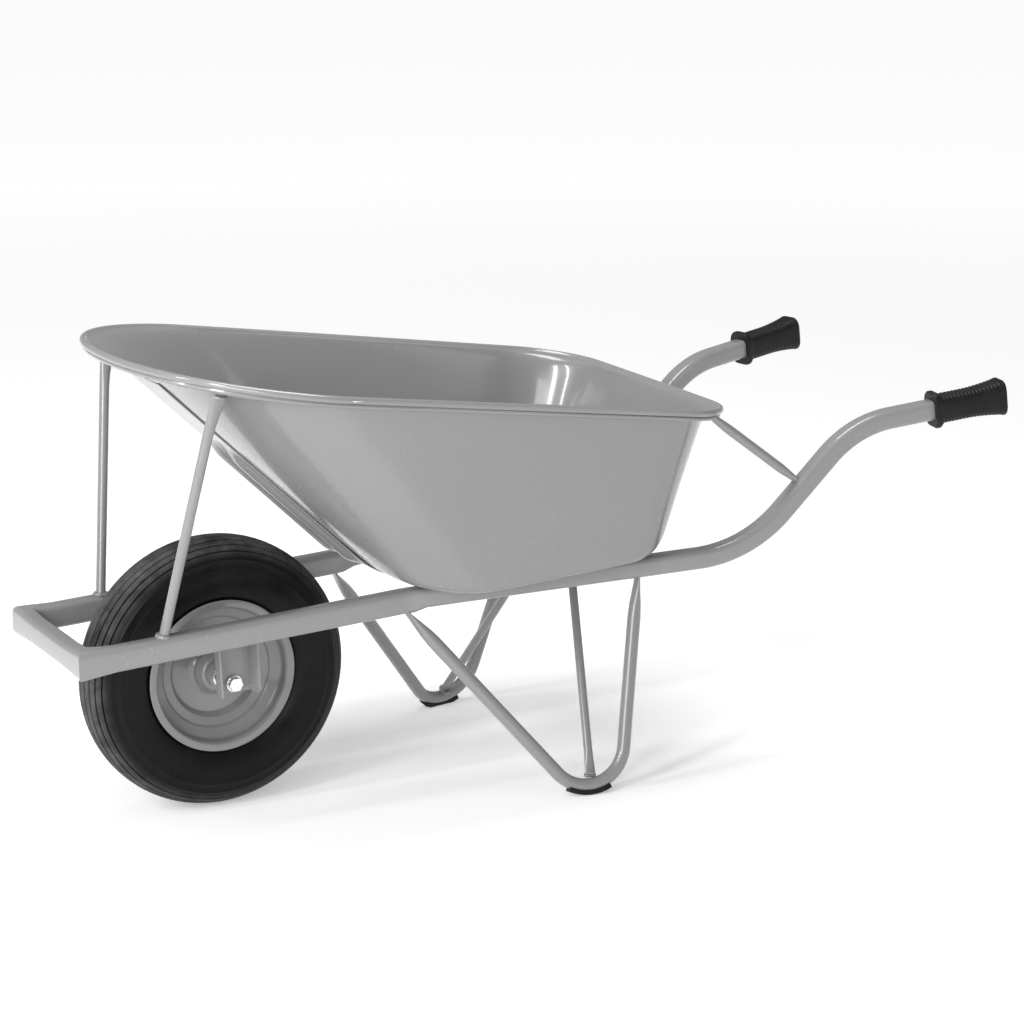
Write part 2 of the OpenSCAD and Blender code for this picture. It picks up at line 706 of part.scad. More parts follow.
module grip(side) color(rubber) on_side(side) multmatrix(grip_m) difference() {
    union() {
        along_x(grip_len) rounded_rect(grip_size, grip_size, tube_corner + 3);
        for (x = [0, grip_len - collar_t]) translate([x, 0, 0]) along_x(collar_t)
            rounded_rect(grip_size + 3, handle_size + 2 * grip_collar, tube_corner + 4);
    }
    translate([-grip_end, 0, 0]) along_x(grip_len)
        rounded_rect(handle_size, handle_size, tube_corner);
}

module grip_left() grip(-1);

module grip_right() grip(1);

// ---------- tray ----------
module tray() color(paint) placed() skin(tray_rings);

module rim_wire() color(zinc) placed()
    skin([for (i = [0 : ring_steps - 1]) rod_section(i, wire_d / 2)], closed = true);

module nose_bar() color(paint) placed()
    skin([for (i = [-nose_bar_steps : nose_bar_steps])
        rod_section((i + ring_steps) % ring_steps, nose_bar_d / 2, nose_bar_tuck, nose_bar_drop)]);

module nose_plate() color(paint) placed() multmatrix(nose_m) {
    translate([plate_from, -plate_w / 2, plate_lift])
        cube([plate_to - plate_from, plate_w, plate_t]);
    for (y = [-rib_spacing / 2, rib_spacing / 2]) intersection() {
        translate([0, y, plate_lift]) {
            translate([rib_from + rib_r, 0, 0]) sphere(rib_r);
            translate([rib_to, 0, 0]) sphere(rib_r);
            translate([rib_from + rib_r, 0, 0]) rotate([0, 90, 0])
                cylinder(h = rib_to - rib_from - rib_r, r = rib_r);
        }
        translate([plate_from, -plate_w, plate_lift]) cube([nose_len, 2 * plate_w, 2 * rib_r]);
    }
}

// ---------- stays, legs and cross bars ----------
stay_wall = 1.5;
stay_end = 12;

// A tube from a to b whose end at b is closed.
module stay(a, b) {
    difference() {
        rod(a, b, stay_d, arm_spare);
        rod(a, b - stay_end * unit(b - a), stay_d - 2 * stay_wall, arm_spare + 1);
    }
}

module front_stay(side) color(paint) on_side(side) difference() {
    stay(front_stay_foot, front_stay_top);
    multmatrix(frame_m) translate([-big / 2, -big / 2, rail_h / 2 - big]) cube(big);
}

module front_stay_left() front_stay(-1);

module front_stay_right() front_stay(1);

module rear_stay(side) color(paint) on_side(side) difference() {
    stay(rear_stay_foot, rear_stay_top);
    multmatrix(slope_m) translate([-big / 2, -big / 2, handle_size / 2 - big]) cube(big);
}

module rear_stay_left() rear_stay(-1);

module rear_stay_right() rear_stay(1);

// A straight arm that starts just inside the bend, thinner by the lap so their skins don't meet.
module leg_arm(p, angle, way) {
    len = sqrt(p * p - foot_bend_r * foot_bend_r) + arm_spare;
    rotate(angle) translate([foot_bend_r, 0, 0]) rotate([-90 * way, 0, 0])
        translate([0, 0, -1]) cylinder(h = len + 1, d = leg_d - lap);
}

module leg_bend(r, from, to) {
    rotate(from) rotate_extrude(angle = to - from) translate([foot_bend_r, 0]) circle(r);
}

module above_rails() {
    multmatrix(frame_m) translate([-big / 2, -big / 2, -rail_h / 2]) cube(big);
}

module leg(side) color(paint) on_side(side) difference() {
    multmatrix(leg_m) {
        leg_bend(leg_d / 2, front_tangent, rear_tangent);
        leg_arm(front_arm, front_tangent, -1);
        leg_arm(rear_arm, rear_tangent, 1);
    }
    above_rails();
}

module leg_left() leg(-1);

module leg_right() leg(1);

module foot_shoe(side) color(rubber) on_side(side) difference() {
    multmatrix(leg_m) difference() {
        rotate(270 - shoe_half_angle) rotate_extrude(angle = 2 * shoe_half_angle)
            translate([foot_bend_r + 0.35 * leg_d, -shoe_w / 2])
            square([0.15 * leg_d + shoe_t, shoe_w]);
        leg_bend(leg_d / 2, front_tangent, rear_tangent);
    }
    translate([0, -big / 2, -big]) cube(big);
}

module foot_shoe_left() foot_shoe(-1);

module foot_shoe_right() foot_shoe(1);

module leg_brace(side) color(paint) on_side(side) difference() {
    rod(brace_top, brace_foot, brace_d, arm_spare);
    multmatrix(frame_m) translate([-big / 2, -big / 2, rail_h / 2 - cross_bar_t]) cube(big);
}

module leg_brace_left() leg_brace(-1);

module leg_brace_right() leg_brace(1);

// Half the clear width between the rails at a distance behind the axle.
function between_rails(x) = rail_half - rail_w / 2
    + (x > splay_at ? (x - splay_at) * tan(splay) : 0);

module cross_bar(at) color(paint) placed() multmatrix(frame_m)
    translate([at, 0, rail_h / 2 - cross_bar_t]) linear_extrude(cross_bar_t) polygon([
        for (p = [[-1, 1], [1, 1], [1, -1], [-1, -1]])
            let (x = p.x * cross_bar_w / 2) [x, p.y * between_rails(at + x)]]);

module cross_bar_front() cross_bar(cross_bar_front_at);

module cross_bar_rear() cross_bar(cross_bar_rear_at);

tyre();
inner_tube();
rim_left();
rim_right();
hub_tube();
bearing_outer_rings();
bearing_balls();
valve_stem();
valve_cap();
bearing_inner_rings();
bearing_spacer();
axle_spacers();
axle_bolt();
axle_washers();
axle_nut();
axle_bracket_left();
axle_bracket_right();
side_tube_left();
side_tube_right();
front_crosspiece();
grip_left();
grip_right();
tray();
rim_wire();
nose_bar();
nose_plate();
front_stay_left();
front_stay_right();
rear_stay_left();
rear_stay_right();
leg_left();
leg_right();
leg_brace_left();
leg_brace_right();
foot_shoe_left();
foot_shoe_right();
cross_bar_front();
cross_bar_rear();
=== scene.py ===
import math

import bmesh
import bpy
from mathutils import Matrix, Vector
from mathutils.bvhtree import BVHTree


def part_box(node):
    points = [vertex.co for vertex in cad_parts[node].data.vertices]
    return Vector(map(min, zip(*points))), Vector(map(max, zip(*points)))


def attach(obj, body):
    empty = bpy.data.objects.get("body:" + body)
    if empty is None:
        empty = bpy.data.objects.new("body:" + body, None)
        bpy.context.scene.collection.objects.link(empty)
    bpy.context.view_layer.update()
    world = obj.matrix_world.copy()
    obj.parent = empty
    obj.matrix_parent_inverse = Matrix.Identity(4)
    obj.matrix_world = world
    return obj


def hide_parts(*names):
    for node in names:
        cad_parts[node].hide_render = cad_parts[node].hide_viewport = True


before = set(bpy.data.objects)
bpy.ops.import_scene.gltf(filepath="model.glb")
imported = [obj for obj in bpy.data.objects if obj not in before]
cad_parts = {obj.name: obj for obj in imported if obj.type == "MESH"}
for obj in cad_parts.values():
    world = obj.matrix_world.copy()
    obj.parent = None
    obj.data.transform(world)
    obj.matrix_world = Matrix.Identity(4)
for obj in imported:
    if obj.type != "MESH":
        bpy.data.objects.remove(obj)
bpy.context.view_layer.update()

# ---------- sizes, in metres and degrees ----------
AXLE = (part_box("tyre")[0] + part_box("tyre")[1]) / 2
FRAME_PITCH = 2.7
SPLAY = 10
HANDLE_RISE = 4
RAIL_W, RAIL_H = 0.028, 0.035
HANDLE_SIZE = 0.030
SIDES = {"left": -1, "right": 1}


def at(x, y, z, side=1):
    """A point given from the axle's foot on the ground, on one side of the wheelbarrow."""
    return Vector((AXLE.x + x, y * side, z))


# ---------- modelling ----------
def start():
    """Leave edit mode with nothing selected."""
    if bpy.context.object and bpy.context.object.mode != "OBJECT":
        bpy.ops.object.mode_set(mode="OBJECT")
    bpy.ops.object.select_all(action="DESELECT")


def name_piece(name):
    piece = bpy.context.object
    piece.name = piece.data.name = name
    return piece


def choose(piece, test):
    """Select the vertices of the piece in edit mode that pass the test."""
    mesh = bmesh.from_edit_mesh(piece.data)
    for item in mesh.verts[:] + mesh.edges[:] + mesh.faces[:]:
        item.select_set(False)
    for vertex in mesh.verts:
        if test(vertex):
            vertex.select_set(True)
    mesh.select_flush_mode()
    bmesh.update_edit_mesh(piece.data)


def select_mode(kind):
    bpy.ops.mesh.select_mode(type=kind)


def extrude(move):
    bpy.ops.mesh.extrude_region_move(TRANSFORM_OT_translate={"value": move})


def tidy_mesh(piece, smooth=40, merge=1e-6):
    """Merge doubles, point every face outwards and shade smooth up to an angle."""
    if piece.mode != "EDIT":
        start()
        bpy.context.view_layer.objects.active = piece
        piece.select_set(True)
        bpy.ops.object.mode_set(mode="EDIT")
    bpy.ops.mesh.select_all(action="SELECT")
    bpy.ops.mesh.remove_doubles(threshold=merge)
    bpy.ops.mesh.normals_make_consistent(inside=False)
    bpy.ops.object.mode_set(mode="OBJECT")
    piece.select_set(True)
    bpy.ops.object.shade_smooth_by_angle(angle=math.radians(smooth))
    return piece


def modify(piece, kind, **settings):
    """Add a modifier with these settings and apply it."""
    bpy.context.view_layer.objects.active = piece
    modifier = piece.modifiers.new(kind.title(), kind)
    for key, value in settings.items():
        setattr(modifier, key, value)
    bpy.ops.object.modifier_apply(modifier=modifier.name)
    return piece


def place(piece, matrix):
    """Move the piece from its own axes to its place and apply that to its mesh."""
    start()
    piece.select_set(True)
    bpy.context.view_layer.objects.active = piece
    piece.matrix_world = matrix
    bpy.ops.object.transform_apply(location=True, rotation=True, scale=True)
    return piece


def lathe(name, outline, steps, rounding=0.0):
    """A ring turned about the axle, from an outline of (radius, distance along the axle)."""
    start()
    first = outline[0]
    bpy.ops.mesh.primitive_plane_add(size=0.01, location=AXLE + Vector((0, first[1], first[0])))
    piece = name_piece(name)
    bpy.ops.object.transform_apply(location=True)
    bpy.ops.object.mode_set(mode="EDIT")
    select_mode("VERT")
    bpy.ops.mesh.merge(type="CENTER")
    for (r0, y0), (r1, y1) in zip(outline, outline[1:]):
        extrude((0, y1 - y0, r1 - r0))
    ends = [AXLE + Vector((0, y, r)) for r, y in (outline[0], outline[-1])]
    choose(piece, lambda v: min((v.co - end).length for end in ends) < 1e-5)
    bpy.ops.mesh.edge_face_add()
    bpy.ops.mesh.select_all(action="SELECT")
    if rounding:
        bpy.ops.mesh.bevel(offset=rounding, segments=3, affect="VERTICES")
        bpy.ops.mesh.select_all(action="SELECT")
    bpy.ops.mesh.spin(steps=steps, angle=2 * math.pi, center=AXLE, axis=(0, 1, 0))
    return tidy_mesh(piece)


def section(name, width, height, corner, segments=4):
    """A face with rounded corners, across the X axis, left selected in edit mode."""
    start()
    bpy.ops.mesh.primitive_plane_add(size=1, rotation=(0, math.radians(90), 0))
    piece = name_piece(name)
    piece.scale = (height, width, 1)
    bpy.ops.object.transform_apply(rotation=True, scale=True)
    bpy.ops.object.mode_set(mode="EDIT")
    bpy.ops.mesh.bevel(offset=corner, segments=segments, affect="VERTICES")
    return piece


def loft(piece, stations):
    """Extrude the section along X through stations of (x, width share, height share, rise)."""
    x0, wide0, high0, rise0 = 0, 1, 1, 0
    for x, wide, high, rise in stations:
        if x == 0:
            bpy.ops.mesh.select_all(action="SELECT")
        else:
            extrude((x - x0, 0, rise - rise0))
        bpy.ops.transform.resize(value=(1, wide / wide0, high / high0),
                                 center_override=(x, 0, rise))
        x0, wide0, high0, rise0 = x, wide, high, rise
    return tidy_mesh(piece)


def along(start_point, direction, up=(0, 0, 1)):
    """Axes at a point, with X along the direction and Z as near to up as it can be."""
    x = Vector(direction).normalized()
    y = Vector(up).cross(x).normalized()
    z = x.cross(y)
    turn = Matrix((x, y, z)).transposed().to_4x4()
    return Matrix.Translation(start_point) @ turn


def carried(node, smooth=35, bevel=0):
    """A merged and smoothly shaded copy of a CAD node, which it stands for."""
    start()
    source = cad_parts[node]
    piece = source.copy()
    piece.data = source.data.copy()
    piece.parent = None
    for key in list(piece.keys()):
        del piece[key]
    bpy.context.scene.collection.objects.link(piece)
    piece.hide_viewport = piece.hide_render = False
    piece.hide_set(False)
    piece.name = piece.data.name = node + "_shape"
    piece.select_set(True)
    bpy.context.view_layer.objects.active = piece
    bpy.ops.object.mode_set(mode="EDIT")
    bpy.ops.mesh.select_all(action="SELECT")
    bpy.ops.mesh.remove_doubles(threshold=2e-6)
    bpy.ops.mesh.dissolve_limited(angle_limit=math.radians(0.2))
    bpy.ops.object.mode_set(mode="OBJECT")
    if bevel:
        modify(piece, "BEVEL", width=bevel, segments=2, limit_method="ANGLE",
               angle_limit=math.radians(40))
    bpy.ops.object.shade_smooth_by_angle(angle=math.radians(smooth))
    return piece


def own(piece, finish, body, *nodes):
    """Give a new piece its finish, the body that it rides on and the nodes that it stands for."""
    piece.data.materials.clear()
    piece.data.materials.append(finish.material)
    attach(piece, body)
    if nodes:
        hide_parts(*nodes)
    return piece


# ---------- finishes ----------
class Link:
    """An output socket of a finish. Arithmetic on it adds Math nodes."""

    def __init__(self, finish, socket):
        self.finish = finish
        self.socket = socket

    def calc(self, operation, *values):
        return self.finish.node("ShaderNodeMath", {"operation": operation},
                                dict(enumerate(values)))

    def __add__(self, other):
        return self.calc("ADD", self, other)

    __radd__ = __add__

    def __mul__(self, other):
        return self.calc("MULTIPLY", self, other)

    def ramp(self, low, high):
        """0 at low, 1 at high, and held there beyond them."""
        return self.finish.node("ShaderNodeMapRange", {"clamp": True},
                                {"Value": self, "From Min": low, "From Max": high})


class Finish:
    """A material with one Principled shader and the nodes that feed it."""

    def __init__(self, name, **constants):
        self.material = bpy.data.materials.new(name)
        self.material.use_nodes = True
        self.tree = self.material.node_tree
        self.shader = self.tree.nodes["Principled BSDF"]
        for key, value in constants.items():
            socket = key.replace("_", " ").title().replace("Ior", "IOR")
            self.shader.inputs[socket].default_value = value
        self.where = self.node("ShaderNodeTexCoord", output="Object")

    def node(self, kind, settings=None, inputs=None, output=0):
        made = self.tree.nodes.new(kind)
        for key, value in (settings or {}).items():
            setattr(made, key, value)
        for key, value in (inputs or {}).items():
            if isinstance(value, Link):
                self.tree.links.new(value.socket, made.inputs[key])
            else:
                made.inputs[key].default_value = value
        return Link(self, made.outputs[output])

    def feed(self, socket, value):
        self.tree.links.new(value.socket, self.shader.inputs[socket])

    def noise(self, scale, detail=2.0, rough=0.5, stretch=(1, 1, 1)):
        """Even noise from 0 to 1 whose features are about 1 / scale metres."""
        spot = self.node("ShaderNodeMapping", {}, {"Vector": self.where, "Scale": stretch})
        return self.node("ShaderNodeTexNoise", {},
                         {"Vector": spot, "Scale": scale, "Detail": detail, "Roughness": rough})

    def blend(self, share, a, b):
        """Colour a where the share is 0 and colour b where it is 1."""
        return self.node("ShaderNodeMix", {"data_type": "RGBA"}, {0: share, 6: a, 7: b}, output=2)

    def bump(self, height, distance, strength):
        relief = self.node("ShaderNodeBump", {},
                           {"Height": height, "Distance": distance, "Strength": strength})
        self.feed("Normal", relief)

    def axle_distance(self):
        """Distance of a point from the axle's line."""
        spot = self.node("ShaderNodeVectorMath", {"operation": "SUBTRACT"},
                         {0: self.where, 1: AXLE})
        flat = self.node("ShaderNodeVectorMath", {"operation": "MULTIPLY"}, {0: spot, 1: (1, 0, 1)})
        return self.node("ShaderNodeVectorMath", {"operation": "LENGTH"}, {0: flat}, output=1)


def grey(v, warm=0.0):
    return (v + warm, v, v - warm, 1)


def make_paint(name, shade, gloss):
    """Grey gloss enamel with a faint orange peel, soft clouding and a trace of dust."""
    finish = Finish(name, coat_weight=0.6, coat_roughness=0.08)
    cloud = finish.noise(5, 3)
    dust = finish.noise(160, 4, 0.6).ramp(0.60, 0.85)
    tone = finish.blend(cloud, grey(shade * 0.98), grey(shade * 1.02))
    finish.feed("Base Color", finish.blend(dust * 0.03, tone, grey(shade * 1.2)))
    finish.feed("Roughness", gloss + cloud * 0.05 + dust * 0.03)
    finish.bump(finish.noise(260, 2), 0.0001, 0.12)
    return finish


def make_tyre_rubber():
    """Black rubber, dusty on the tread, with pale specks on the sidewall."""
    finish = Finish("tyre_rubber", specular_ior_level=0.16)
    out = finish.axle_distance()
    tread = out.ramp(0.176, 0.196)
    dust = finish.noise(28, 5, 0.65).ramp(0.35, 0.75)
    grain = finish.noise(900, 2)
    specks = finish.noise(260, 3, 0.7).ramp(0.72, 0.78)
    black = finish.blend(dust * 0.5, grey(0.003), grey(0.013, 0.0004))
    dusty = finish.blend(tread * (0.2 + dust * 0.8), black, grey(0.12, 0.003))
    finish.feed("Base Color", finish.blend(specks * 0.45, dusty, grey(0.16, 0.004)))
    finish.feed("Roughness", 0.36 + dust * 0.18 + tread * 0.26)
    finish.bump(grain + dust * 0.6, 0.0003, 0.4)
    return finish


def make_grip_rubber():
    finish = Finish("grip_rubber", specular_ior_level=0.25)
    wear = finish.noise(45, 4, 0.6).ramp(0.45, 0.75)
    finish.feed("Base Color", finish.blend(wear * 0.6, grey(0.006), grey(0.020)))
    finish.feed("Roughness", 0.46 + wear * 0.16)
    finish.bump(finish.noise(1400, 2), 0.0002, 0.5)
    return finish


def make_bare_steel(name, shade, rough):
    """Zinc plated or turned steel with fine streaks."""
    finish = Finish(name, metallic=1.0)
    streak = finish.noise(240, 3, 0.6, (1, 0.2, 1))
    finish.feed("Base Color", finish.blend(streak, grey(shade * 0.85), grey(shade)))
    finish.feed("Roughness", rough + streak * 0.12)
    finish.bump(streak, 0.0001, 0.3)
    return finish


paint = make_paint("grey_enamel", 0.235, 0.24)
rim_paint = make_paint("rim_enamel", 0.20, 0.22)
tyre_rubber = make_tyre_rubber()
grip_rubber = make_grip_rubber()
zinc = make_bare_steel("zinc_plate", 0.85, 0.16)
bearing_steel = make_bare_steel("bearing_steel", 0.75, 0.12)

# ---------- wheel ----------
TYRE_R, TYRE_W = 0.200, 0.100
SEAT_R = 0.1015
TYRE_MID = (TYRE_R + SEAT_R) / 2
TREAD_GROOVES = 8
GROOVE_SPAN = 98
GROOVE_HALF = 1.7
GROOVE_D = 0.0034


def tyre_point(angle, depth=0.0):
    """A point on the tyre's outline at an angle about the middle of its section."""
    def swell(v):
        return math.copysign(abs(v) ** 0.85, v)
    a = math.radians(angle)
    return (TYRE_MID + (TYRE_R - TYRE_MID - depth) * swell(math.sin(a)),
            (TYRE_W / 2 - depth) * swell(math.cos(a)))


def make_tyre():
    """The tyre: a bead, a sidewall with faint raised rings, and a grooved tread."""
    stops = [(a, 0) for a in range(-52, 4, 7)]
    for ring in (7, 22):
        stops += [(ring, 0), (ring + 1, -0.0006), (ring + 2.5, -0.0006), (ring + 3.5, 0)]
    stops += [(30, 0), (35, 0)]
    for k in range(TREAD_GROOVES // 2):
        q = 90 - GROOVE_SPAN * (0.5 - k / (TREAD_GROOVES - 1))
        stops += [(q - GROOVE_HALF, 0), (q - GROOVE_HALF * 0.6, GROOVE_D),
                  (q + GROOVE_HALF * 0.6, GROOVE_D), (q + GROOVE_HALF, 0), (q + 5, 0), (q + 9, 0)]
    half = [tyre_point(*stop) for stop in stops]
    outer = half + [(r, -y) for r, y in reversed(half)]
    inner = [tyre_point(angle, 0.007) for angle in range(232, -53, -12)]
    tyre = lathe("tyre_shape", outer + inner, 144)
    return own(tyre, tyre_rubber, "wheel", "tyre")


# One half of the rim from the hub out to the lip and back, as (radius, distance), in mm.
RIM_HALF = [
    (20, 28), (24, 27.5), (26.5, 25.5), (31, 6), (38, 2), (63.5, 2), (69.5, 12.5), (81.5, 14),
    (84, 18), (97, 24.5), (99.5, 28), (99.5, 36), (102.5, 40.6), (111, 41.5), (113.4, 40.6),
    (112.6, 39.4), (103.4, 38.6), (101.5, 35), (101.5, 27), (98.5, 23), (85.5, 16.3), (82.5, 12),
    (71, 10.8), (65, 0.1), (37, 0.1), (29.4, 4), (24.8, 23.6), (20, 25)]


def make_rim(name, side):
    outline = [(r / 1000, side * y / 1000) for r, y in RIM_HALF]
    rim = lathe(name + "_shape", outline, 120, rounding=0.0009)
    return own(rim, rim_paint, "wheel", name)


def make_hub():
    hub = lathe("hub_tube_shape", [(0.0162, -0.040), (0.020, -0.040), (0.020, 0.040),
                                   (0.0162, 0.040)], 64, rounding=0.0005)
    return own(hub, rim_paint, "wheel", "hub_tube")


make_tyre()
make_rim("rim_left", -1)
make_rim("rim_right", 1)
make_hub()
for node in ("inner_tube", "valve_stem", "valve_cap"):
    own(carried(node), grip_rubber, "wheel", node)
for node in ("bearing_outer_rings", "bearing_balls"):
    own(carried(node), bearing_steel, "wheel", node)
own(carried("bearing_inner_rings"), bearing_steel, "frame", "bearing_inner_rings")
for node in ("bearing_spacer", "axle_spacers", "axle_washers", "rim_wire"):
    own(carried(node), zinc, "frame", node)
for node in ("axle_bolt", "axle_nut"):
    own(carried(node, 30, 0.0006), zinc, "frame", node)


# ---------- tray ----------
def make_tray():
    """The pressed tray, with its facets turned to smooth curves."""
    tray = carried("tray")
    bpy.ops.object.mode_set(mode="EDIT")
    bpy.ops.mesh.select_all(action="SELECT")
    bpy.ops.mesh.tris_convert_to_quads(face_threshold=math.radians(60),
                                       shape_threshold=math.radians(80))
    bpy.ops.object.mode_set(mode="OBJECT")
    modify(tray, "SUBSURF", levels=2, render_levels=2)
    bpy.ops.object.shade_smooth_by_angle(angle=math.radians(60))
    return own(tray, paint, "frame", "tray")


# Where the nose plate has rows of points, in mm behind the axle: closer together where its ribs
# end and where it bends towards the floor.
PLATE_ROWS = (-93, -60, -30, 0, 14, 20, 26, 32, 40, 50, 90, 130, 160, 168, 176, 184, 194, 200, 208,
              218, 228, 240, 252, 264, 276)
PLATE_DROP = 0.0018
BESIDE_MIDDLE = 0.0005
PLATE_HALF = 0.060
PLATE_T = 0.0025
PLATE_STEPS = 40
RIB_Y, RIB_HALF, RIB_H = 0.034, 0.014, 0.0095
# The ribs start just past the row at 20 mm, so that no row lies on the limit itself.
RIB_FROM, RIB_TO = 0.0201, 0.222


def plate_line():
    """The middle of the nose plate's sheet from the rim to the floor, just under the CAD tray."""
    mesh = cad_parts["tray"].data
    sheet = BVHTree.FromPolygons([vertex.co for vertex in mesh.vertices],
                                 [face.vertices[:] for face in mesh.polygons])
    unders = [sheet.ray_cast(at(x / 1000, BESIDE_MIDDLE, 0), Vector((0, 0, 1)))[0]
              for x in PLATE_ROWS]
    return [Vector((under.x, -PLATE_HALF, under.z - PLATE_DROP)) for under in unders]


def make_nose_plate():
    """The plate under the nose, with two pressed ribs whose ends are rounded."""
    start()
    line = plate_line()
    bpy.ops.mesh.primitive_plane_add(size=0.001, location=line[0])
    plate = name_piece("nose_plate_shape")
    bpy.ops.object.transform_apply(location=True)
    bpy.ops.object.mode_set(mode="EDIT")
    select_mode("VERT")
    bpy.ops.mesh.merge(type="CENTER")
    for here, there in zip(line, line[1:]):
        extrude(there - here)
    bpy.ops.mesh.select_all(action="SELECT")
    for k in range(PLATE_STEPS):
        extrude((0, 2 * PLATE_HALF / PLATE_STEPS, 0))
    out = Vector((-0.69, 0, -0.72))
    for side in SIDES.values():
        for row in range(-4, 5):
            y = side * RIB_Y + row * 0.003
            share = math.cos(math.radians(90 * row * 0.003 / RIB_HALF)) ** 0.8
            for inset, part in ((0, 0.45), (0.006, 0.3), (0.013, 0.25)):
                near = abs(row) * 0.0012 + inset
                choose(plate, lambda v: abs(v.co.y - y) < 0.0012
                       and AXLE.x + RIB_FROM + near < v.co.x < AXLE.x + RIB_TO - near)
                bpy.ops.transform.translate(value=out * RIB_H * share * part)
    bpy.ops.object.mode_set(mode="OBJECT")
    modify(plate, "SOLIDIFY", thickness=PLATE_T, offset=0)
    modify(plate, "SUBSURF", levels=1, render_levels=1)
    tidy_mesh(plate, 50)
    return own(plate, paint, "frame", "nose_plate")


def make_rim_curl():
    """The edge of the sheet, which curls under the rolled rim and leaves a thin dark gap."""
    curl = carried("rim_wire")
    middle = (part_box("rim_wire")[0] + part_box("rim_wire")[1]) / 2
    bpy.ops.object.mode_set(mode="EDIT")
    bpy.ops.mesh.select_all(action="SELECT")
    bpy.ops.transform.resize(value=(0.994, 0.990, 1), center_override=middle)
    bpy.ops.transform.translate(value=(0, 0, -0.0082))
    bpy.ops.object.mode_set(mode="OBJECT")
    curl.name = curl.data.name = "rim_curl"
    return own(curl, paint, "frame")


make_tray()
make_rim_curl()
make_nose_plate()


# ---------- tubes, legs and stays ----------
def rod_section(name, radius):
    """A round face across the X axis, left selected in edit mode."""
    start()
    bpy.ops.mesh.primitive_circle_add(vertices=28, radius=radius, fill_type="NGON",
                                      rotation=(0, math.radians(90), 0))
    piece = name_piece(name)
    bpy.ops.object.transform_apply(rotation=True)
    bpy.ops.object.mode_set(mode="EDIT")
    return piece


def rod(name, a, b, radius, up, from_end=(), to_end=()):
    """A round rod from a to b. Its ends take (distance to the end, width, height, shift)."""
    piece = rod_section(name, radius)
    length = (b - a).length
    stations = list(from_end) + [(length - x, w, h, s) for x, w, h, s in to_end]
    loft(piece, stations + ([] if to_end else [(length, 1, 1, 0)]))
    return place(piece, along(a, b - a, up))


def mirrored(piece, name):
    """A copy of the piece on the other side of the wheelbarrow, with its own mesh."""
    start()
    piece.select_set(True)
    bpy.context.view_layer.objects.active = piece
    bpy.ops.object.duplicate()
    copy = name_piece(name)
    copy.scale = (1, -1, 1)
    bpy.ops.object.transform_apply(scale=True)
    return tidy_mesh(copy)


def pair(piece, finish, stem):
    """Keep the piece as the right hand one of two, and add the left hand one."""
    own(mirrored(piece, stem + "_left_shape"), finish, "frame", stem + "_left")
    own(piece, finish, "frame", stem + "_right")


STAY_R, LEG_R, BRACE_R, FOOT_R = 0.00725, 0.010, 0.0065, 0.060
FRONT_STAY = (at(-0.122, 0.1203, 0.294), at(-0.0677, 0.2084, 0.6564))
REAR_STAY = (at(0.858, 0.2288, 0.4285), at(0.694, 0.2435, 0.5486))
LEG_FRONT, LEG_REAR = at(0.2545, 0.1245, 0.2806), at(0.6069, 0.1844, 0.3022)
LEG_FOOT = at(0.493, 0.241, 0.0125)
BRACE = (at(0.5747, 0.034, 0.3257), at(0.499, 0.2355, 0.0265))


def make_stays():
    front = rod("front_stay_right_shape", *FRONT_STAY, STAY_R, (1, 0, 0),
                to_end=[(0.070, 1, 1, 0), (0.050, 0.95, 1.08, 0.0006), (0.034, 0.85, 1.22, 0.0018),
                        (0.020, 0.7, 1.42, 0.0034), (0.009, 0.6, 1.6, 0.0050),
                        (0, 0.55, 1.72, 0.0060)])
    pair(front, paint, "front_stay")
    rear = rod("rear_stay_right_shape", *REAR_STAY, STAY_R, (0, 0, 1),
               from_end=[(0, 1.2, 0.58, 0), (0.012, 1.15, 0.68, 0), (0.030, 1.04, 0.92, 0),
                         (0.044, 1, 1, 0)],
               to_end=[(0.044, 1, 1, 0), (0.028, 1.06, 0.92, 0), (0.012, 1.15, 0.75, 0),
                       (0, 1.2, 0.68, 0)])
    pair(rear, paint, "rear_stay")


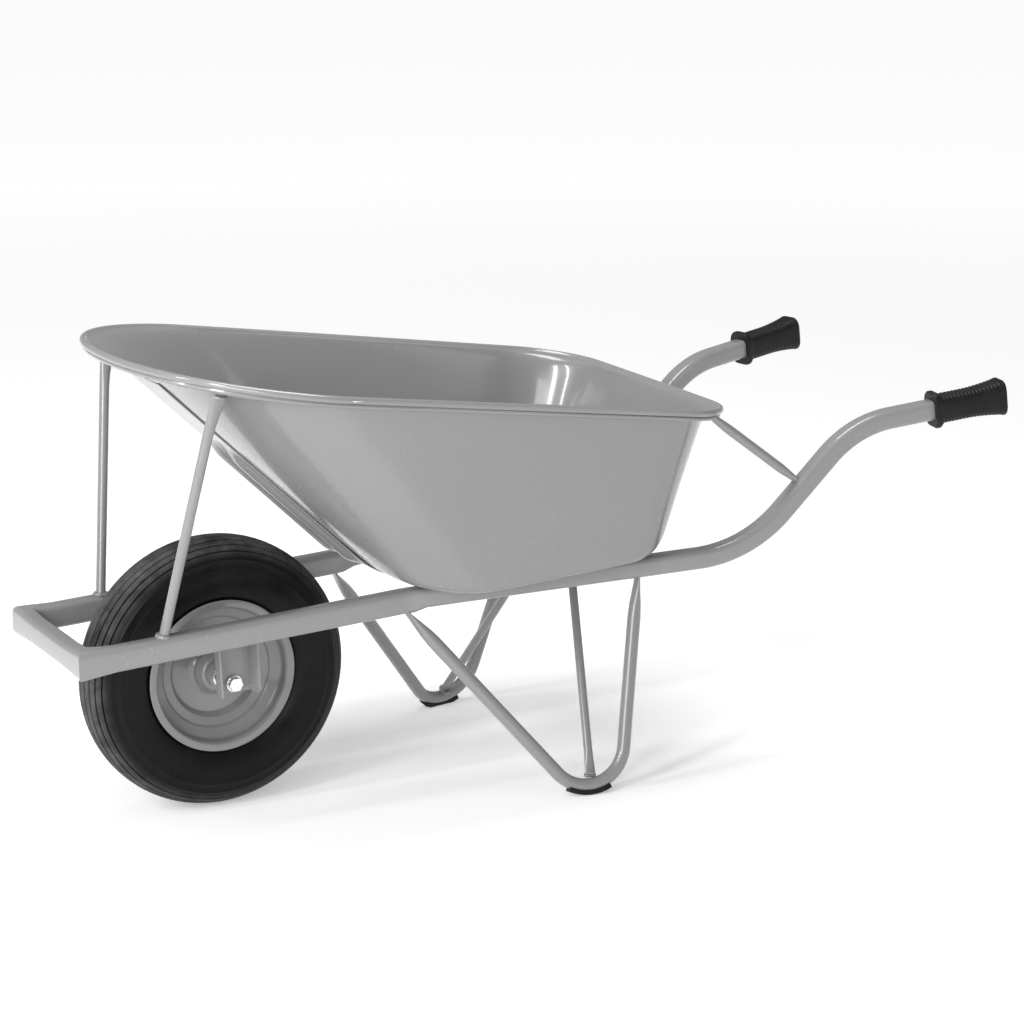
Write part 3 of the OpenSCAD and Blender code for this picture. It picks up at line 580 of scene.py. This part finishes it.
def make_legs():
    """One bent tube for each leg, whose arms end flattened against the rail."""
    normal = (LEG_REAR - LEG_FOOT).cross(LEG_FRONT - LEG_FOOT).normalized()
    up = (Vector((0, 0, 1)) - normal.z * normal).normalized()
    ahead = up.cross(normal)
    centre = LEG_FOOT + FOOT_R * up
    flat = [(0.060, 1, 1, 0), (0.042, 0.88, 1.04, 0), (0.024, 0.62, 1.12, 0),
            (0.008, 0.36, 1.2, 0), (-0.004, 0.25, 1.22, 0)]
    arms = []
    turns = []
    for end, way in ((LEG_FRONT, 1), (LEG_REAR, -1)):
        flat_end = Vector(((end - centre).dot(ahead), (end - centre).dot(up)))
        turn = (math.atan2(flat_end.y, flat_end.x) + way * math.acos(FOOT_R / flat_end.length))
        turns.append(turn)
        tangent = centre + FOOT_R * (math.cos(turn) * ahead + math.sin(turn) * up)
        arms.append(rod("leg_arm", tangent, end, LEG_R, normal, to_end=flat))
    bend = rod_section("leg_right_shape", LEG_R)
    sweep = (turns[1] - turns[0]) % (2 * math.pi)
    bpy.ops.mesh.spin(steps=20, angle=-sweep, center=(0, FOOT_R, 0), axis=(0, 0, 1))
    tidy_mesh(bend)
    start_at = centre + FOOT_R * (math.cos(turns[0]) * ahead + math.sin(turns[0]) * up)
    forward = -math.sin(turns[0]) * ahead + math.cos(turns[0]) * up
    inward = (centre - start_at).normalized()
    axes = Matrix((forward, inward, forward.cross(inward))).transposed().to_4x4()
    place(bend, Matrix.Translation(start_at) @ axes)
    start()
    for piece in arms + [bend]:
        piece.select_set(True)
    bpy.context.view_layer.objects.active = bend
    bpy.ops.object.join()
    pair(tidy_mesh(bend, 50, 0.0002), paint, "leg")
    brace = rod("leg_brace_right_shape", *BRACE, BRACE_R, (1, 0, 0),
                to_end=[(0.040, 1, 1, 0), (0.022, 0.8, 1.1, 0), (0.010, 0.5, 1.25, 0),
                        (-0.004, 0.4, 1.3, 0)])
    pair(brace, paint, "leg_brace")


def make_weld(name, centre, normal, radius, bead):
    """A lumpy ring of weld metal about a joint."""
    start()
    bpy.ops.mesh.primitive_torus_add(major_radius=radius, minor_radius=bead, major_segments=40,
                                     minor_segments=10)
    weld = name_piece(name)
    lumps = bpy.data.textures.new(name, "CLOUDS")
    lumps.noise_scale = 0.006
    modify(weld, "DISPLACE", texture=lumps, strength=0.0028, mid_level=0.5)
    bpy.ops.object.shade_smooth_by_angle(angle=math.radians(80))
    return place(weld, along(centre, Vector(normal).orthogonal(), normal))


def make_welds():
    """The beads that hold the stays and braces, as one piece on each side."""
    beads = [
        make_weld("weld", FRONT_STAY[0] + Vector((0.0005, 0.001, 0.005)), (0.1, 0.1, 1), 0.0088,
                  0.0034),
        make_weld("weld", FRONT_STAY[1] + Vector((0.004, 0.0, -0.005)), (0.1, 0.3, 1), 0.0085,
                  0.0022),
        make_weld("weld", REAR_STAY[0], (0.6, 0.1, -0.7), 0.0085, 0.0022),
        make_weld("weld", BRACE[1] + Vector((0, -0.001, -0.001)), (0.2, -0.6, 0.8), 0.0075,
                  0.0020)]
    start()
    for bead in beads:
        bead.select_set(True)
    bpy.context.view_layer.objects.active = beads[0]
    bpy.ops.object.join()
    welds = name_piece("welds_right")
    own(mirrored(welds, "welds_left"), paint, "frame")
    own(welds, paint, "frame")


make_stays()
make_legs()
make_welds()

# ---------- frame ----------
RAIL_Y, RAIL_Z, RAIL_RISE = 0.1215, 0.2863, 0.0473
TUBE_R = 0.008
CORNER = (-0.2522, 0.1355)
CORNER_Z = 0.2745
RAIL_START = -0.262
RAIL_RUNS = (0.047, 0.020, 0.4395)
PRESS_RUN, SPREAD_RUN = 0.019, 0.4262
SLOPE_RUN, HANDLE_RUN = 0.108, 0.180
CROSS_HALF = 0.140
CROSS_RUNS = (0.050, 0.020, 0.140, 0.020, 0.050)
BRACKET_TOP = 0.290
SPLAY_R, LOW_R, HIGH_R = 0.120, 0.195, 0.164
LOW_TURN, HIGH_TURN = 44.4, 40.4


class Bender:
    """Extrudes and bends the selected section, like a tube bender, keeping its place and axes."""

    def __init__(self, piece, spot, forward, up):
        self.piece = piece
        self.spot = Vector(spot)
        self.forward = Vector(forward).normalized()
        self.up = Vector(up).normalized()

    def straight(self, length):
        extrude(self.forward * length)
        self.spot += self.forward * length

    def bend(self, toward, radius, degrees, steps):
        toward = Vector(toward).normalized()
        axis = self.forward.cross(toward)
        centre = self.spot + toward * radius
        turn = Matrix.Rotation(math.radians(degrees), 3, axis)
        bpy.ops.mesh.spin(steps=steps, angle=-math.radians(degrees), center=centre, axis=axis)
        self.spot = centre - turn @ toward * radius
        self.forward = turn @ self.forward
        self.up = turn @ self.up

    def press(self, side, raise_by):
        """Widen the section that was made last on both sides, and raise its lower half."""
        across = self.up.cross(self.forward)

        def in_ring(v):
            away = v.co - self.spot
            return abs(away.dot(self.forward)) < 1e-5 and away.length < 0.04

        for way, move in ((-self.up, self.up * raise_by), (across, across * side),
                          (-across, -across * side)):
            choose(self.piece, lambda v: in_ring(v) and (v.co - self.spot).dot(way) > 0)
            bpy.ops.transform.translate(value=move)
        choose(self.piece, in_ring)
        self.spot += self.up * raise_by / 2


def cut(piece, spot, normal, keep_after=True):
    """Cut the piece at a plane and close the cut."""
    bpy.ops.mesh.select_all(action="SELECT")
    bpy.ops.mesh.bisect(plane_co=spot, plane_no=normal, use_fill=True, clear_inner=keep_after,
                        clear_outer=not keep_after)


def swell_corner(piece, place_of, steps):
    """Make the end of a tube at the front corner taller, most at the mitre."""
    for limit, grow in steps:
        choose(piece, lambda v: place_of(v) < limit)
        bpy.ops.transform.resize(value=(1, 1, grow), center_override=at(*CORNER, CORNER_Z))


def make_side_tube():
    """Rail, spreading bend, slope and handle, bent from one tube with a mitred front end."""
    pitch = math.atan(RAIL_RISE)
    forward = Vector((math.cos(pitch), 0, math.sin(pitch)))
    up = Vector((-math.sin(pitch), 0, math.cos(pitch)))
    tube = section("side_tube_right_shape", RAIL_W, RAIL_H, TUBE_R, 5)
    bpy.ops.mesh.select_all(action="SELECT")
    first = at(RAIL_START, RAIL_Y, RAIL_Z + RAIL_START * RAIL_RISE)
    bpy.ops.transform.rotate(value=pitch, orient_axis="Y", center_override=(0, 0, 0))
    bpy.ops.transform.translate(value=first)
    bender = Bender(tube, first, forward, up)
    for length in RAIL_RUNS:
        bender.straight(length)
    bender.bend((0, 1, 0), SPLAY_R, SPLAY, 5)
    bender.straight(PRESS_RUN)
    bender.press((HANDLE_SIZE - RAIL_W) / 2, RAIL_H - HANDLE_SIZE)
    bender.straight(SPREAD_RUN)
    bender.bend(bender.up, LOW_R, LOW_TURN, 18)
    bender.straight(SLOPE_RUN)
    bender.bend(-bender.up, HIGH_R, HIGH_TURN, 16)
    bender.straight(HANDLE_RUN)
    cut(tube, at(*CORNER, CORNER_Z), (1, 1, 0))
    swell_corner(tube, lambda v: v.co.x - AXLE.x,
                 ((-0.180, 1.03), (-0.205, 1.08), (-0.2185, 1.12)))
    return tidy_mesh(tube, 35)


def make_crosspiece():
    """The tube across the front, mitred to both side tubes."""
    tube = section("front_crosspiece_shape", RAIL_W, RAIL_H, TUBE_R, 5)
    bpy.ops.mesh.select_all(action="SELECT")
    bpy.ops.transform.rotate(value=math.radians(90), orient_axis="Z", center_override=(0, 0, 0))
    bpy.ops.transform.translate(value=at(CORNER[0] + RAIL_W / 2, -CROSS_HALF, CORNER_Z))
    for length in CROSS_RUNS:
        extrude((0, length, 0))
    cut(tube, at(*CORNER, CORNER_Z), (1, 1, 0), keep_after=False)
    cut(tube, at(*CORNER, CORNER_Z, side=-1), (1, -1, 0), keep_after=False)
    swell_corner(tube, lambda v: -abs(v.co.y), ((-0.065, 1.03), (-0.085, 1.08), (-0.105, 1.12)))
    return own(tidy_mesh(tube, 35), paint, "frame", "front_crosspiece")


def make_bracket(side):
    """The axle bracket, whose plate ends below the rail's top."""
    bracket = carried("axle_bracket_" + side, 30)
    bpy.ops.object.mode_set(mode="EDIT")
    cut(bracket, (0, 0, BRACKET_TOP), (0, 0, 1), keep_after=False)
    bpy.ops.object.mode_set(mode="OBJECT")
    modify(bracket, "BEVEL", width=0.001, segments=2, limit_method="ANGLE",
           angle_limit=math.radians(40))
    bpy.ops.object.shade_smooth_by_angle(angle=math.radians(30))
    return own(bracket, paint, "frame", "axle_bracket_" + side)


pair(make_side_tube(), paint, "side_tube")
make_crosspiece()
for side in SIDES:
    make_bracket(side)
    own(carried("foot_shoe_" + side, 30, 0.0005), grip_rubber, "frame", "foot_shoe_" + side)
for node in ("nose_bar", "cross_bar_front", "cross_bar_rear"):
    own(carried(node, 30), paint, "frame", node)

# ---------- grips ----------
GRIP_LEN = 0.118
GRIP_W, GRIP_H = 0.040, 0.040
COLLAR_LEN = 0.014
GRIP_FROM = 0.063
RIDGES = 16
RIDGE_H = 0.05


def grip_height(x):
    """Height share of the grip's body, which flares towards its free end."""
    flare = max(0.0, (x - 0.055) / (GRIP_LEN - 0.055))
    return 1.0 + 0.34 * flare ** 1.8


def grip_stations():
    """The collar at the near end, then ridges all the way to the flared free end."""
    stations = [(0.0, 1.06, 1.28, 0), (0.002, 1.10, 1.36, 0), (0.008, 1.10, 1.36, 0),
                (0.011, 1.06, 1.20, 0), (COLLAR_LEN, 1.0, 1.02, 0)]
    pitch = (GRIP_LEN - 0.006 - COLLAR_LEN) / RIDGES
    for k in range(RIDGES):
        for share, lift in ((0.15, 0), (0.35, RIDGE_H), (0.7, RIDGE_H), (0.9, 0)):
            x = COLLAR_LEN + (k + share) * pitch
            stations.append((x, 0.6 + 0.4 * grip_height(x) + lift * 0.3, grip_height(x) + lift, 0))
    return stations + [(GRIP_LEN - 0.005, 1.12, 1.37, 0), (GRIP_LEN - 0.0015, 1.12, 1.36, 0),
                       (GRIP_LEN, 1.06, 1.29, 0)]


def make_grip(side):
    low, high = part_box("grip_" + side)
    turn = (Matrix.Rotation(-math.radians(FRAME_PITCH), 4, "Y")
            @ Matrix.Rotation(math.radians(SPLAY * SIDES[side]), 4, "Z")
            @ Matrix.Rotation(-math.radians(HANDLE_RISE), 4, "Y"))
    grip = section("grip_%s_shape" % side, GRIP_W, GRIP_H, 0.011)
    loft(grip, grip_stations())
    centre = Matrix.Translation((low + high) / 2) @ turn @ Matrix.Translation((-GRIP_FROM, 0, 0))
    return own(place(grip, centre), grip_rubber, "frame", "grip_" + side)


for side in SIDES:
    make_grip(side)


# ---------- floor, light and camera ----------
def make_floor_white():
    """Studio white, which glows a little more away from the middle to stay even."""
    finish = Finish("floor_white", roughness=0.9, specular_ior_level=0.1)
    finish.shader.inputs["Base Color"].default_value = grey(0.86)
    finish.shader.inputs["Emission Strength"].default_value = 1.0
    far = finish.node("ShaderNodeVectorMath", {"operation": "LENGTH"}, {0: finish.where}, output=1)
    finish.feed("Emission Color", finish.blend(far.ramp(0.5, 6.0), grey(0.34), grey(0.66)))
    return finish


start()
bpy.ops.mesh.primitive_plane_add(size=60, location=(0, 0, 0))
floor = name_piece("studio_floor")
floor.data.materials.append(make_floor_white().material)

world = bpy.data.worlds.new("studio")
bpy.context.scene.world = world
world.use_nodes = True
world.node_tree.nodes["Background"].inputs["Color"].default_value = (1, 1, 1, 1)
world.node_tree.nodes["Background"].inputs["Strength"].default_value = 0.34


def softbox(name, place_at, aim, size, power):
    data = bpy.data.lights.new(name, "AREA")
    data.shape = "RECTANGLE"
    data.size, data.size_y = size
    data.energy = power
    lamp = bpy.data.objects.new(name, data)
    bpy.context.scene.collection.objects.link(lamp)
    lamp.location = place_at
    lamp.rotation_euler = (Vector(aim) - Vector(place_at)).to_track_quat("-Z", "Y").to_euler()


softbox("key", (-3.3, -2.5, 1.35), (0, 0, 0.35), (2.0, 1.5), 66)
softbox("fill", (2.6, -3.4, 1.4), (0, 0, 0.4), (1.6, 1.2), 9)
softbox("top", (-0.1, 0.15, 2.9), (-0.1, 0.15, 0.3), (1.5, 1.0), 46)
softbox("window_near", (-3.2, -1.4, 2.3), (0.25, 0, 0.5), (0.45, 1.5), 50)
softbox("window_far", (-3.4, -0.1, 2.3), (0.25, 0, 0.5), (0.20, 1.5), 30)

CAMERA_AZ, CAMERA_EL, CAMERA_ROLL = -28.39, 14.45, -0.11
camera_data = bpy.data.cameras.new("camera")
camera_data.lens = 107.2
camera_data.sensor_width = 36
camera = bpy.data.objects.new("camera", camera_data)
bpy.context.scene.collection.objects.link(camera)
camera.matrix_world = (Matrix.Translation(at(-1.6283, -3.9299, 1.5244))
                       @ Matrix.Rotation(math.radians(CAMERA_AZ), 4, "Z")
                       @ Matrix.Rotation(math.radians(90 - CAMERA_EL), 4, "X")
                       @ Matrix.Rotation(math.radians(CAMERA_ROLL), 4, "Z"))
bpy.context.scene.camera = camera
bpy.context.scene.view_settings.view_transform = "Standard"
